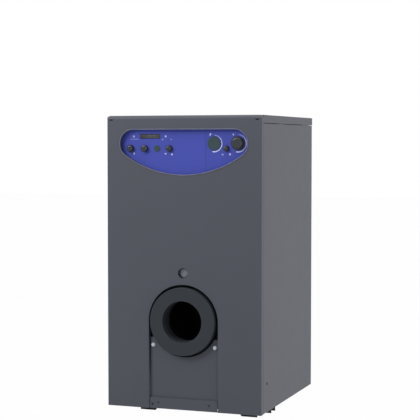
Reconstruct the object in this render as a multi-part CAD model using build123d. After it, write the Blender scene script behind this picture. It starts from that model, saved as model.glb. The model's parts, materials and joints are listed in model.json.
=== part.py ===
from build123d import *
import os
from math import cos, radians, sin, sqrt

# Floor-standing oil-fired boiler. Millimetres, +Z up, front towards -Y.
# The origin is on the floor, under the middle of the overall footprint.

# Overall casing
CASING_WIDTH = 456.0
CASING_DEPTH = 510.0
TOTAL_HEIGHT = 850.0
FLOOR_GAP = 31.0
BOSS_PROUD = 10.0
REAR_REACH = 50.0

# Sheet metal
SHEET = 1.2
FLANGE = 20.0
SIDE_BEND = 2.0
SEAM = 0.6
PAN_DEPTH = 17.5
PAN_FLANGE = 14.0
PAN_BEND = 3.5
LIP_RADIUS = 9.5
COVER_DROP = 21.8
COVER_SEAM = 1.0
CORNER_RADIUS = 9.0
RELIEF_SETBACK = 8.0
RELIEF_WIDTH = 10.0
RELIEF_HEIGHT = 3.0
RELIEF_DROP = 13.5

# Control cut-out in the front panel
CONTROL_BELOW_TOP = 39.0
CONTROL_HALF_WIDTH = 188.0
CONTROL_HEIGHT = 125.0
CONTROL_ARC = 300.0
FASCIA_RECESS = 13.0
FASCIA_SHEET = 3.0
FASCIA_MARGIN = 6.0
FASCIA_SEAM_X = 63.0
FASCIA_SEAM_WIDTH = 0.6
BEZEL_WALL = 1.2
BEZEL_LIP = 1.8
BEZEL_PROUD = 1.0
FIT = 0.1

# Burner arch, boss and cover plate
BURNER_HEIGHT = 279.0
BOSS_RADIUS = 95.0
BURNER_BORE = 57.0
LEAD_IN = 1.0
GROOVE_SETBACK = 13.0
GROOVE_WIDTH = 3.0
GROOVE_RISE = 3.5
DOOR_BORE = 78.0
BOARD_THICK = 30.0
ARCH_RADIUS = 102.5
ARCH_TO_PLATE = 2.3
PLATE_RECESS = 9.0
PLATE_STRIP_RECESS = 3.0
PLATE_STRIP_HEIGHT = 31.0
PLATE_TO_BOSS = 6.0
PLATE_EAR_RISE = 22.0
PLATE_SCREW_X = 91.5
PLATE_SCREW_DROP = 70.0
PLATE_HOLE_X = 75.3
PLATE_HOLE_HEIGHT = 17.0
PLATE_HOLE = 2.5
LATCH_HOLE = 3.0
LATCH_X = -92.6
LATCH_HEIGHT = 12.0
SCREW_HEAD = 5.0
SCREW_SHANK = 2.5
POST_RADIUS = 6.0
SIGHT_HEIGHT = 413.5
SIGHT_HOLE = 14.5
SIGHT_RECESS = 9.0

# Side panel service hole
SIDE_HOLE = 4.5
SIDE_HOLE_BEHIND_FRONT = 51.5
SIDE_HOLE_UP = 80.6

# Cast-iron heating body
BOSS_LENGTH = 50.0
DOOR_THICK = 18.0
DOOR_GAP = 3.0
DOOR_MARGIN = 5.0
BODY_HALF_WIDTH = 160.0
BODY_TOP = 590.0
SHOULDER = 60.0
HEADER_RADIUS = 40.0
HEADER_TOP = 600.0
HEADER_BOTTOM = 118.0
PORT = 27.0
WALL = 8.0
END_SECTION = 74.0
MIDDLE_SECTION = 64.0
MIDDLE_COUNT = 3
CHAMBER_RADIUS = 118.0
CHAMBER_STRAIGHT = 43.0
PASS_X = 66.0
PASS_WIDTH = 100.0
PASS_HEIGHT = 34.0
PASS_CORNER = 8.0
LOWER_PASS = 478.0
UPPER_PASS = 535.0
FIN_COUNT = 5
FIN_THICK = 4.0
FIN_HEIGHT = 9.0
REAR_WATER = 20.0
TURN_DEPTH = 44.0
ROD_X = 62.0
ROD_RADIUS = 5.0
LUG_RADIUS = 13.0
NUT_RADIUS = 9.0
NUT_THICK = 8.0
ROD_END = 4.0
FOOT_X = 115.0
FOOT_WIDTH = 40.0
FOOT_DEPTH = 20.0
JACKET = 27.0
JACKET_CLEAR = 0.5
JACKET_LOW = 205.0

# Smoke hood, flue and water connections
HOOD_HALF_WIDTH = 136.0
HOOD_TOP = 560.0
HOOD_HEIGHT = 140.0
HOOD_DEPTH = 46.0
HOOD_WALL = 5.0
HOOD_FLANGE = 18.0
COLLAR_RADIUS = 60.0
COLLAR_WALL = 3.0
COLLAR_FLANGE = 9.0
PIPE_RADIUS = 21.0
PIPE_WALL = 3.5
PIPE_FLANGE = 37.0
PANEL_HOLE_CLEAR = 4.0
DRAIN_X = 66.0
DRAIN_Z = 158.0
DRAIN_RADIUS = 9.0

# Base
RAIL_DEPTH = 40.0
RAIL_DROP = 16.0
RAIL_SHEET = 3.0
RAIL_BEHIND_FRONT = 120.0
RAIL_HALF_LENGTH = 219.0
REAR_RAIL_HALF_LENGTH = 180.0
LEG_INNER = 119.5
LEG_OUTER = 177.5
LEG_SLANT = 12.0

# Controls, measured from the middle of the casing and down from its top
KNOB_GAP = 0.5
SHAFT = 3.0
SHAFT_CLEAR = 0.05
SHAFT_HOLE = 5.0
ROW_DROP = 91.5
THERMOSTAT_X = 156.0
THERMOSTAT_DROP = 77.0
THERMOSTAT_KNOB = 19.5
THERMOSTAT_KNOB_HEIGHT = 10.6
MAIN_SWITCH_X = -161.0
LIMIT_X = -118.0
SMALL_PLUG_X = -81.5
SEASON_X = -44.5
SMALL_SELECTOR_X = 123.0
LARGE_PLUG_X = 87.0
LARGE_PLUG_DROP = 77.5
SWITCH_KNOB = 10.7
SEASON_KNOB = 9.6
SMALL_KNOB = 8.5
KNOB_HEIGHT = 10.4
SMALL_KNOB_HEIGHT = 9.0
LIMIT_CAP = 9.8
LIMIT_CAP_HEIGHT = 10.8
SMALL_PLUG = 9.0
LARGE_PLUG = 19.0
GAUGE_X = -102.7
GAUGE_DROP = 57.7
GAUGE_WIDTH = 60.0
GAUGE_HEIGHT = 12.7
GAUGE_FRAME = 1.6
GAUGE_DEPTH = 16.0
POINTER_REST = 22.5
TRAY_HALF_WIDTH = 200.0
TRAY_BOTTOM_DROP = 170.0
TRAY_DEPTH = 128.0
TRAY_BACK_HEIGHT = 58.0
CABLE_HOLE_X = (-40.0, 0.0, 40.0)
CABLE_HOLE_UP = 30.0
CABLE_HOLE = 8.0
GLAND_NUT = 12.0
GLAND_DOME = 9.5
GLAND_BORE = 5.0

# Fixing points of the panels
CLIP_HEIGHTS = (95.0, 720.0)
CLIP_INSET = 11.0
STUD_RADIUS = 3.0
STUD_LENGTH = 12.0
CLIP_NECK = STUD_RADIUS + 2.0
CLIP_HEAD = CLIP_NECK + 2.0
COVER_PIN_SETBACKS = (210.0, 440.0)
POCKET_RADIUS = 9.0
POCKET_BORE = 7.0

# Derived planes along Y
FRONT = BOSS_PROUD - (BOSS_PROUD + CASING_DEPTH + REAR_REACH) / 2
REAR = FRONT + CASING_DEPTH
BACK_END = REAR + REAR_REACH
PAN_BACK = FRONT + PAN_DEPTH
SIDE_FRONT = PAN_BACK + SEAM
FASCIA_FACE = FRONT + FASCIA_RECESS
GAUGE_FLOOR = FASCIA_FACE + GAUGE_DEPTH
TRAY_FRONT = FASCIA_FACE + FASCIA_SHEET
TRAY_REAR = TRAY_FRONT + TRAY_DEPTH
PLATE_FACE = FRONT + PLATE_RECESS
STRIP_FACE = FRONT + PLATE_STRIP_RECESS
BOSS_FACE = FRONT - BOSS_PROUD
DOOR_FACE = BOSS_FACE + BOSS_LENGTH
DOOR_BACK = DOOR_FACE + DOOR_THICK
BODY_FRONT = DOOR_BACK + DOOR_GAP
MIDDLE_FRONT = BODY_FRONT + END_SECTION
MIDDLE_REAR = MIDDLE_FRONT + MIDDLE_COUNT * MIDDLE_SECTION
BODY_REAR = MIDDLE_REAR + END_SECTION
HOOD_REAR = BODY_REAR + HOOD_DEPTH
RAIL_FRONT = FRONT + RAIL_BEHIND_FRONT
REAR_RAIL_FRONT = REAR - SHEET - RAIL_DEPTH

# Derived heights and widths
HALF_WIDTH = CASING_WIDTH / 2
COVER_BOTTOM = TOTAL_HEIGHT - COVER_DROP
SIDE_TOP = COVER_BOTTOM - COVER_SEAM
CONTROL_TOP = TOTAL_HEIGHT - CONTROL_BELOW_TOP
TRAY_TOP = SIDE_TOP - SHEET
TRAY_BOTTOM = TOTAL_HEIGHT - TRAY_BOTTOM_DROP
ROW_Z = TOTAL_HEIGHT - ROW_DROP
THERMOSTAT_Z = TOTAL_HEIGHT - THERMOSTAT_DROP
LARGE_PLUG_Z = TOTAL_HEIGHT - LARGE_PLUG_DROP
GAUGE_Z = TOTAL_HEIGHT - GAUGE_DROP
HOOD_MIDDLE = HOOD_TOP - HOOD_HEIGHT / 2
LEDGE_Z = FLOOR_GAP + PLATE_STRIP_HEIGHT
SCREW_Z = BURNER_HEIGHT - PLATE_SCREW_DROP


def block(x, y, z):
    """A box between two corners, each given as (low, high) along one axis."""
    size = (x[1] - x[0], y[1] - y[0], z[1] - z[0])
    middle = ((x[0] + x[1]) / 2, (y[0] + y[1]) / 2, (z[0] + z[1]) / 2)
    return Pos(*middle) * Box(*size)


def slab_y(outline, front, rear):
    """A front-view outline in X and Z, given thickness along Y."""
    return extrude(Plane.XZ.offset(-rear) * outline, amount=rear - front)


def slab_x(outline, left, right):
    """A side-view outline in Y and Z, given thickness along X."""
    return extrude(Plane.YZ.offset(left) * outline, amount=right - left)


def slab_z(outline, low, high):
    """A plan outline in X and Y, given thickness along Z."""
    return extrude(Plane.XY.offset(low) * outline, amount=high - low)


def rod_y(radius, x, z, front, rear):
    """A round bar along Y."""
    return slab_y(Pos(x, z) * Circle(radius), front, rear)


def rod_z(radius, x, y, low, high):
    """A round bar along Z."""
    return slab_z(Pos(x, y) * Circle(radius), low, high)


def both_sides(shape):
    """The shape and its mirror image across the middle of the boiler."""
    return [shape, mirror(shape, about=Plane.YZ)]


def group(shapes):
    """Separate solids that belong to one node."""
    solids = []
    for shape in shapes:
        solids.extend(shape.solids())
    return Compound(children=solids)


# Control cut-out


def control_outline(grow):
    """Flat top, round ends and a wide arc below, all tangent to each other."""
    rise = CONTROL_ARC - CONTROL_HEIGHT
    half = CONTROL_ARC + rise - CONTROL_HALF_WIDTH
    spare = CONTROL_ARC**2 - CONTROL_HALF_WIDTH**2 - rise**2
    end = sqrt(half**2 + spare) - half
    end_x = CONTROL_HALF_WIDTH - end
    end_z = CONTROL_TOP - end
    arc_z = CONTROL_TOP + rise
    share = (CONTROL_ARC + grow) / (CONTROL_ARC - end)
    meet_x = end_x * share
    meet_z = arc_z + (end_z - arc_z) * share
    top = CONTROL_TOP + grow
    side = CONTROL_HALF_WIDTH + grow
    bottom = CONTROL_TOP - CONTROL_HEIGHT - grow
    edges = [
        Line((-end_x, top), (end_x, top)),
        ThreePointArc((end_x, top), (side, end_z), (meet_x, meet_z)),
        ThreePointArc((meet_x, meet_z), (0, bottom), (-meet_x, meet_z)),
        ThreePointArc((-meet_x, meet_z), (-side, end_z), (-end_x, top)),
    ]
    return make_face(Wire(edges))


# Front panel and what rides on it


def pan_body(inset):
    """The front panel's outer form: bent sides and a rounded top lip."""
    half = HALF_WIDTH - inset
    front = FRONT + inset
    back = PAN_BACK + inset
    low = FLOOR_GAP + inset
    high = TOTAL_HEIGHT - inset
    plan = Pos(0, (front + back) / 2) * Rectangle(2 * half, back - front)
    plan = fillet(plan.vertices().group_by(Axis.Y)[0], PAN_BEND - inset)
    side = Pos((front + back) / 2, (low + high) / 2) * Rectangle(back - front, high - low)
    corner = side.vertices().group_by(Axis.X)[0].sort_by(Axis.Y)[-1]
    side = fillet(corner, LIP_RADIUS - inset)
    face = Pos(0, (low + high) / 2) * Rectangle(2 * half, high - low)
    face = fillet(face.vertices().group_by(Axis.Y)[-1], CORNER_RADIUS - inset)
    return slab_z(plan, low, high) & slab_x(side, -half, half) & slab_y(face, front, back)


def arch_outline(radius):
    """Round at the top, straight down to the lower edge and past it."""
    drop = BURNER_HEIGHT - FLOOR_GAP + PAN_DEPTH
    legs = Pos(0, BURNER_HEIGHT - drop / 2) * Rectangle(2 * radius, drop)
    return Pos(0, BURNER_HEIGHT) * Circle(radius) + legs


def corner_relief():
    """The bending relief under the lip, near the right corner."""
    outer = HALF_WIDTH - RELIEF_SETBACK
    top = TOTAL_HEIGHT - RELIEF_DROP + RELIEF_HEIGHT
    return block(
        (outer - RELIEF_WIDTH, outer),
        (FRONT - 1, FRONT + 2 * SHEET),
        (top - RELIEF_HEIGHT, top),
    )


def arch_edge():
    """The edge turned back round the burner arch."""
    edge = arch_outline(ARCH_RADIUS + SHEET) - arch_outline(ARCH_RADIUS)
    above = block(
        (-HALF_WIDTH, HALF_WIDTH),
        (FRONT, PAN_BACK),
        (FLOOR_GAP, TOTAL_HEIGHT),
    )
    return slab_y(edge, FRONT, PAN_BACK) & above


def front_panel():
    hollow = pan_body(SHEET)
    flange_x = HALF_WIDTH - PAN_FLANGE
    window = block(
        (-flange_x, flange_x),
        (PAN_BACK - 2 * SHEET, PAN_BACK + SHEET),
        (FLOOR_GAP + PAN_FLANGE, TOTAL_HEIGHT - PAN_FLANGE),
    )
    hollow_depth = block(
        (-CASING_WIDTH, CASING_WIDTH),
        (FRONT, PAN_BACK - SHEET),
        (0, TOTAL_HEIGHT + 1),
    )
    shape = pan_body(0) - (hollow & hollow_depth) - window
    shape -= slab_y(control_outline(BEZEL_WALL + FIT), FRONT - 1, FRONT + 2 * SHEET)
    shape -= rod_y(SIGHT_HOLE, 0, SIGHT_HEIGHT, FRONT - 1, FRONT + 2 * SHEET)
    shape -= slab_y(arch_outline(ARCH_RADIUS), FRONT - 1, PAN_BACK + 1)
    shape += arch_edge()
    for relief in both_sides(corner_relief()):
        shape -= relief
    return shape


def control_bezel():
    """A trim ring: a lip on the panel's face and a wall back to the fascia."""
    lip = control_outline(BEZEL_LIP) - control_outline(0)
    wall = control_outline(BEZEL_WALL) - control_outline(0)
    wall_rear = FASCIA_FACE - 3 * FIT
    return slab_y(lip, FRONT - BEZEL_PROUD, FRONT) + slab_y(wall, FRONT, wall_rear)


def clip_points():
    """Where the front panel's studs sit, as (x, z)."""
    x = HALF_WIDTH - CLIP_INSET
    points = []
    for height in CLIP_HEIGHTS:
        points.append((-x, FLOOR_GAP + height))
        points.append((x, FLOOR_GAP + height))
    return points


def front_panel_studs():
    studs = []
    for x, z in clip_points():
        stud = rod_y(STUD_RADIUS, x, z, PAN_BACK, PAN_BACK + STUD_LENGTH)
        studs.append(chamfer(stud.edges().group_by(Axis.Y)[-1], 1.0))
    return group(studs)


def front_panel_clips():
    """Plastic sockets in the side panels' front flanges."""
    clips = []
    rear = SIDE_FRONT + STUD_LENGTH
    for x, z in clip_points():
        clip = rod_y(CLIP_HEAD, x, z, SIDE_FRONT + SHEET, SIDE_FRONT + 3 * SHEET)
        clip += rod_y(CLIP_NECK, x, z, SIDE_FRONT, rear)
        clip -= rod_y(STUD_RADIUS + FIT, x, z, SIDE_FRONT - 1, rear + 1)
        clips.append(clip)
    return group(clips)


# Burner cover plate


def plate_half_width():
    return ARCH_RADIUS - ARCH_TO_PLATE


def burner_cover_plate():
    """A folded plate: a tall face, a ledge at its foot and a strip below."""
    half = plate_half_width()
    ear_top = SCREW_Z + PLATE_EAR_RISE
    face = Pos(0, (LEDGE_Z + ear_top) / 2) * Rectangle(2 * half, ear_top - LEDGE_Z)
    face -= Pos(0, BURNER_HEIGHT) * Circle(BOSS_RADIUS + PLATE_TO_BOSS)
    shape = slab_y(face, PLATE_FACE, PLATE_FACE + SHEET)
    shape += block((-half, half), (STRIP_FACE, PLATE_FACE + SHEET), (LEDGE_Z - SHEET, LEDGE_Z))
    shape += block((-half, half), (STRIP_FACE, STRIP_FACE + SHEET), (FLOOR_GAP, LEDGE_Z))
    shape += block((-half, half), (STRIP_FACE, PAN_BACK), (FLOOR_GAP, FLOOR_GAP + SHEET))
    strip_holes = [
        (PLATE_HOLE, -PLATE_HOLE_X, PLATE_HOLE_HEIGHT),
        (PLATE_HOLE, PLATE_HOLE_X, PLATE_HOLE_HEIGHT),
        (LATCH_HOLE, LATCH_X, LATCH_HEIGHT),
    ]
    for radius, x, height in strip_holes:
        z = FLOOR_GAP + height
        shape -= rod_y(radius, x, z, STRIP_FACE - 1, STRIP_FACE + 2 * SHEET)
    for x in (-PLATE_SCREW_X, PLATE_SCREW_X):
        shape -= rod_y(SCREW_SHANK + FIT, x, SCREW_Z, PLATE_FACE - 1, PLATE_FACE + 2 * SHEET)
    return shape


def cover_plate_screws():
    """Domed heads that stand on a washer."""
    screws = []
    for x in (-PLATE_SCREW_X, PLATE_SCREW_X):
        washer = rod_y(SCREW_HEAD + 1.0, x, SCREW_Z, PLATE_FACE - 1.5, PLATE_FACE)
        head = rod_y(SCREW_HEAD, x, SCREW_Z, PLATE_FACE - 5.5, PLATE_FACE - 1.5)
        head = fillet(head.edges().group_by(Axis.Y)[0], 2.5)
        shank = rod_y(SCREW_SHANK, x, SCREW_Z, PLATE_FACE, PLATE_FACE + 14.0)
        screws.append(washer + head + shank)
    return group(screws)


def cover_plate_posts():
    """Hexagonal posts from the burner door to the plate's ears."""
    posts = []
    for x in (-PLATE_SCREW_X, PLATE_SCREW_X):
        hexagon = Pos(x, SCREW_Z) * RegularPolygon(POST_RADIUS, 6)
        post = slab_y(hexagon, PLATE_FACE + SHEET, DOOR_FACE)
        post -= rod_y(SCREW_SHANK + FIT, x, SCREW_Z, PLATE_FACE, PLATE_FACE + 16.0)
        posts.append(post)
    return group(posts)


# Sides, back and top


def cover_pin_points():
    """Where the top cover's pins sit on the right, as (x, y)."""
    return [(HALF_WIDTH - FLANGE / 2, FRONT + back) for back in COVER_PIN_SETBACKS]


def right_side_panel():
    """An open pan: a face with flanges turned in on all four sides."""
    y = (SIDE_FRONT, REAR - SHEET)
    z = (FLOOR_GAP, SIDE_TOP)
    shape = block((HALF_WIDTH - FLANGE, HALF_WIDTH), y, z)
    shape = fillet(shape.faces().sort_by(Axis.X)[-1].edges(), SIDE_BEND)
    inner_y = (y[0] + SHEET, y[1] - SHEET)
    inner_z = (z[0] + SHEET, z[1] - SHEET)
    shape -= block((HALF_WIDTH - FLANGE - 1, HALF_WIDTH - SHEET), inner_y, inner_z)
    hole_y = FRONT + SIDE_HOLE_BEHIND_FRONT
    hole = Pos(hole_y, FLOOR_GAP + SIDE_HOLE_UP) * Circle(SIDE_HOLE)
    shape -= slab_x(hole, HALF_WIDTH - 2 * SHEET, HALF_WIDTH + 1)
    for x, z_hole in clip_points():
        if x > 0:
            shape -= rod_y(CLIP_NECK + FIT, x, z_hole, SIDE_FRONT - 1, SIDE_FRONT + 2 * SHEET)
    for x, y_hole in cover_pin_points():
        shape -= rod_z(STUD_RADIUS + FIT, x, y_hole, TRAY_TOP - 1, SIDE_TOP + 1)
    return shape


def rear_panel():
    half = HALF_WIDTH - SIDE_BEND
    outline_z = (FLOOR_GAP, SIDE_TOP)
    shape = block((-half, half), (REAR - SHEET, REAR), outline_z)
    foot_half = REAR_RAIL_HALF_LENGTH
    shape += block(
        (-foot_half, foot_half), (REAR - RAIL_DEPTH, REAR), (FLOOR_GAP, FLOOR_GAP + SHEET)
    )
    holes = [
        (COLLAR_RADIUS + PANEL_HOLE_CLEAR, 0, HOOD_MIDDLE),
        (PIPE_RADIUS + PANEL_HOLE_CLEAR, 0, HEADER_TOP),
        (PIPE_RADIUS + PANEL_HOLE_CLEAR, 0, HEADER_BOTTOM),
        (DRAIN_RADIUS + PANEL_HOLE_CLEAR, DRAIN_X, DRAIN_Z),
    ]
    for x in CABLE_HOLE_X:
        holes.append((CABLE_HOLE, x, TRAY_BOTTOM + CABLE_HOLE_UP))
    for radius, x, z in holes:
        shape -= rod_y(radius, x, z, REAR - 2 * SHEET, REAR + 1)
    return shape


def top_cover():
    """A shallow lid whose edges turn down, with inward strips for the pins."""
    y = (SIDE_FRONT, REAR)
    z = (COVER_BOTTOM, TOTAL_HEIGHT)
    shape = block((-HALF_WIDTH, HALF_WIDTH), y, z)
    shape = fillet(shape.faces().sort_by(Axis.Z)[-1].edges(), SIDE_BEND)
    inner_half = HALF_WIDTH - SHEET
    inner_y = (y[0] + SHEET, y[1] - SHEET)
    shape -= block((-inner_half, inner_half), inner_y, (z[0] - 1, z[1] - SHEET))
    strip = block((HALF_WIDTH - FLANGE, HALF_WIDTH - SHEET), inner_y, (z[0], z[0] + SHEET))
    for part in both_sides(strip):
        shape += part
    return shape


def top_cover_pins():
    """Each pin has a collar that sets the seam below the cover."""
    pins = []
    for x, y in cover_pin_points():
        collar = rod_z(2 * STUD_RADIUS, x, y, SIDE_TOP, COVER_BOTTOM)
        pin = collar + rod_z(STUD_RADIUS, x, y, SIDE_TOP - STUD_LENGTH, SIDE_TOP)
        pins.extend(both_sides(pin))
    return group(pins)


# Base


def leg_outline(top):
    """A tab with a straight outer end and a slanted inner end."""
    points = [
        (LEG_INNER, top),
        (LEG_OUTER, top),
        (LEG_OUTER, 0),
        (LEG_INNER + LEG_SLANT, 0),
        (LEG_INNER, RAIL_DROP - 1),
    ]
    return make_face(Polyline(*points, close=True))


def rail(front, half_length):
    """A channel with its open side down and two legs on each web."""
    low = FLOOR_GAP - RAIL_DROP
    rear = front + RAIL_DEPTH
    shape = block((-half_length, half_length), (front, rear), (low, FLOOR_GAP))
    inner = (front + RAIL_SHEET, rear - RAIL_SHEET)
    for web in ((front, inner[0]), (inner[1], rear)):
        leg = slab_y(leg_outline(low + RAIL_SHEET), *web)
        for part in both_sides(leg):
            shape += part
    hollow = block((-CASING_WIDTH, CASING_WIDTH), inner, (-1, FLOOR_GAP - RAIL_SHEET))
    return shape - hollow


def base_side_channels():
    """Channels between the rails, under the sections' feet."""
    x = (FOOT_X - FOOT_WIDTH / 2, FOOT_X + FOOT_WIDTH / 2)
    y = (RAIL_FRONT + RAIL_DEPTH, REAR_RAIL_FRONT)
    shape = block(x, y, (FLOOR_GAP - RAIL_DROP, FLOOR_GAP))
    inner = (x[0] + RAIL_SHEET, x[1] - RAIL_SHEET)
    shape -= block(inner, (y[0] - 1, y[1] + 1), (0, FLOOR_GAP - RAIL_SHEET))
    return group(both_sides(shape))


# Cast-iron sections


def body_outline(grow):
    """Round below, shouldered above, with a header boss at top and bottom."""
    half = BODY_HALF_WIDTH + grow
    top = BODY_TOP + grow
    upper = Pos(0, (BURNER_HEIGHT + top) / 2) * Rectangle(2 * half, top - BURNER_HEIGHT)
    upper = fillet(upper.vertices().group_by(Axis.Y)[-1], SHOULDER + grow)
    return Pos(0, BURNER_HEIGHT) * Circle(half) + upper


def with_headers(outline, grow):
    for z in (HEADER_TOP, HEADER_BOTTOM):
        outline += Pos(0, z) * Circle(HEADER_RADIUS + grow)
    return outline


def with_lugs(outline, grow):
    for x, z in rod_points():
        outline += Pos(x, z) * Circle(LUG_RADIUS + grow)
    return outline


def rod_points():
    """Tie rods run beside the two headers."""
    points = []
    for x in (-ROD_X, ROD_X):
        points.append((x, HEADER_TOP - 2.0))
        points.append((x, HEADER_BOTTOM + 2.0))
    return points


def chamber_outline(grow):
    """The combustion chamber, a little taller than it is wide."""
    middle = BURNER_HEIGHT + CHAMBER_STRAIGHT / 2
    slot = SlotCenterToCenter(CHAMBER_STRAIGHT, 2 * (CHAMBER_RADIUS + grow))
    return Pos(0, middle) * Rot(0, 0, 90) * slot


def pass_outline(z, grow):
    """A left and a right gas passage."""
    width = PASS_WIDTH + 2 * grow
    height = PASS_HEIGHT + 2 * grow
    one = RectangleRounded(width, height, PASS_CORNER + grow)
    return Pos(-PASS_X, z) * one + Pos(PASS_X, z) * one


def finned_pass():
    """The lower passages, with cast fins from floor and roof."""
    outline = pass_outline(LOWER_PASS, 0)
    pitch = PASS_WIDTH / (FIN_COUNT + 1)
    for side in (-PASS_X, PASS_X):
        for index in range(FIN_COUNT):
            x = side + (index - (FIN_COUNT - 1) / 2) * pitch
            for edge in (-1, 1):
                z = LOWER_PASS + edge * (PASS_HEIGHT - FIN_HEIGHT) / 2
                outline -= Pos(x, z) * Rectangle(FIN_THICK, FIN_HEIGHT)
    return outline


def water_outline():
    """Water surrounds the chamber and both rows of passages."""
    outline = with_headers(body_outline(-WALL), -WALL)
    outline -= chamber_outline(WALL)
    outline -= pass_outline(LOWER_PASS, WALL)
    outline -= pass_outline(UPPER_PASS, WALL)
    return outline


def header_ports(front, rear):
    upper = rod_y(PORT, 0, HEADER_TOP, front, rear)
    return upper + rod_y(PORT, 0, HEADER_BOTTOM, front, rear)


def cast_section(front, rear, outline):
    """One section, open through for the gas and hollow for the water."""
    shape = slab_y(outline, front, rear)
    shape -= slab_y(water_outline(), front + WALL, rear - WALL)
    shape -= slab_y(chamber_outline(0), front - 1, rear + 1)
    shape -= slab_y(finned_pass(), front - 1, rear + 1)
    shape -= slab_y(pass_outline(UPPER_PASS, 0), front - 1, rear + 1)
    return shape - header_ports(front - 1, rear + 1)


def section_feet(front):
    """Feet down to the base, under one section."""
    x = (FOOT_X - FOOT_WIDTH / 2, FOOT_X + FOOT_WIDTH / 2)
    reach = sqrt(BODY_HALF_WIDTH**2 - x[0] ** 2) - WALL
    foot = block(x, (front, front + FOOT_DEPTH), (FLOOR_GAP, BURNER_HEIGHT - reach))
    foot &= slab_y(arch_outline(BODY_HALF_WIDTH), front, front + FOOT_DEPTH)
    foot -= slab_y(body_outline(-WALL / 2), front, front + FOOT_DEPTH)
    return both_sides(foot)


def rod_holes(front, rear):
    return [rod_y(ROD_RADIUS + 1.0, x, z, front, rear) for x, z in rod_points()]


def door_stud_points():
    """Two studs at the door's shoulders and two below, as (x, z)."""
    low_x = 95.0
    reach = BODY_HALF_WIDTH - 14.0
    low_z = BURNER_HEIGHT - sqrt(reach**2 - low_x**2)
    high_x = BODY_HALF_WIDTH - SHOULDER + 38.0
    high_z = BODY_TOP - SHOULDER + 22.0
    return [(-low_x, low_z), (low_x, low_z), (-high_x, high_z), (high_x, high_z)]


def front_section():
    outline = with_lugs(with_headers(body_outline(0), 0), 0)
    shape = cast_section(BODY_FRONT, MIDDLE_FRONT, outline)
    for foot in section_feet(MIDDLE_FRONT - FOOT_DEPTH):
        shape += foot
    for hole in rod_holes(BODY_FRONT - 1, MIDDLE_FRONT + 1):
        shape -= hole
    for x, z in door_stud_points():
        shape -= rod_y(ROD_RADIUS, x, z, BODY_FRONT - 1, BODY_FRONT + WALL - 1)
    return shape


def middle_section(index):
    front = MIDDLE_FRONT + index * MIDDLE_SECTION
    shape = cast_section(front, front + MIDDLE_SECTION, with_headers(body_outline(0), 0))
    if index == 0:
        shape += rod_z(POCKET_RADIUS + 6, 0, pocket_y(), HEADER_TOP + PORT + 1, pocket_seat())
        shape -= rod_z(POCKET_RADIUS + SHAFT_CLEAR, 0, pocket_y(), HEADER_TOP, pocket_seat() + 1)
    return shape


def rear_section():
    """Closed behind the chamber, where the gas turns up into the passages."""
    front = MIDDLE_REAR
    rear = BODY_REAR
    back_water = rear - WALL - REAR_WATER
    gas_end = back_water - WALL
    water = slab_y(water_outline(), front + WALL, rear - WALL)
    behind = body_outline(-WALL) - pass_outline(UPPER_PASS, WALL)
    water += slab_y(behind, back_water, rear - WALL)
    turn_x = (PASS_X - PASS_WIDTH / 2 + WALL / 2, PASS_X + PASS_WIDTH / 2 - WALL / 2)
    turn_z = (BURNER_HEIGHT + CHAMBER_RADIUS, LOWER_PASS)
    turn_y = (gas_end - TURN_DEPTH, gas_end)
    turn = block(turn_x, turn_y, turn_z)
    jacket_x = (turn_x[0] - WALL, turn_x[1] + WALL)
    jacket = block(jacket_x, (turn_y[0] - WALL, gas_end + WALL), turn_z)
    for part in both_sides(jacket):
        water -= part
    shape = slab_y(with_lugs(with_headers(body_outline(0), 0), 0), front, rear) - water
    shape -= slab_y(chamber_outline(0), front - 1, gas_end)
    shape -= slab_y(finned_pass(), front - 1, gas_end)
    shape -= slab_y(pass_outline(UPPER_PASS, 0), front - 1, rear + 1)
    for part in both_sides(turn):
        shape -= part
    shape -= header_ports(front - 1, rear + 1)
    shape -= rod_y(DRAIN_RADIUS, DRAIN_X, DRAIN_Z, rear - WALL - 1, rear + 1)
    for foot in section_feet(front + (rear - front - FOOT_DEPTH) / 2):
        shape += foot
    for hole in rod_holes(front - 1, rear + 1):
        shape -= hole
    return shape


def section_nipples():
    """Short rings that join the headers from section to section."""
    rings = []
    for index in range(MIDDLE_COUNT + 1):
        joint = MIDDLE_FRONT + index * MIDDLE_SECTION
        for z in (HEADER_TOP, HEADER_BOTTOM):
            ring = rod_y(PORT - SHAFT_CLEAR, 0, z, joint - WALL - 2, joint + WALL + 2)
            ring -= rod_y(PORT - 5, 0, z, joint - WALL - 3, joint + WALL + 3)
            rings.append(ring)
    return group(rings)


def tie_rods():
    """Each rod stands out of its nuts at both ends."""
    front = BODY_FRONT - NUT_THICK - ROD_END
    rear = BODY_REAR + NUT_THICK + ROD_END
    return group([rod_y(ROD_RADIUS, x, z, front, rear) for x, z in rod_points()])


def hexagon_nut(x, z, front, bore):
    nut = slab_y(Pos(x, z) * RegularPolygon(NUT_RADIUS, 6), front, front + NUT_THICK)
    return nut - rod_y(bore, x, z, front - 1, front + NUT_THICK + 1)


def hexagon_nuts():
    """The same nut on the tie rods' ends and on the door's studs."""
    nuts = []
    for x, z in rod_points():
        nuts.append(hexagon_nut(x, z, BODY_FRONT - NUT_THICK, ROD_RADIUS))
        nuts.append(hexagon_nut(x, z, BODY_REAR, ROD_RADIUS))
    for x, z in door_stud_points():
        nuts.append(hexagon_nut(x, z, DOOR_FACE - NUT_THICK, ROD_RADIUS))
    return group(nuts)


def header_plugs():
    """Blind plugs with a square socket in the front section's headers."""
    plugs = []
    for z in (HEADER_TOP, HEADER_BOTTOM):
        plug = rod_y(PORT - SHAFT_CLEAR, 0, z, BODY_FRONT, BODY_FRONT + WALL + 6)
        socket = Pos(0, z) * Rectangle(16, 16)
        plugs.append(plug - slab_y(socket, BODY_FRONT - 1, BODY_FRONT + WALL))
    return group(plugs)


# Burner door


def door_body(front, rear):
    return slab_y(body_outline(-DOOR_MARGIN), front, rear)


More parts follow.
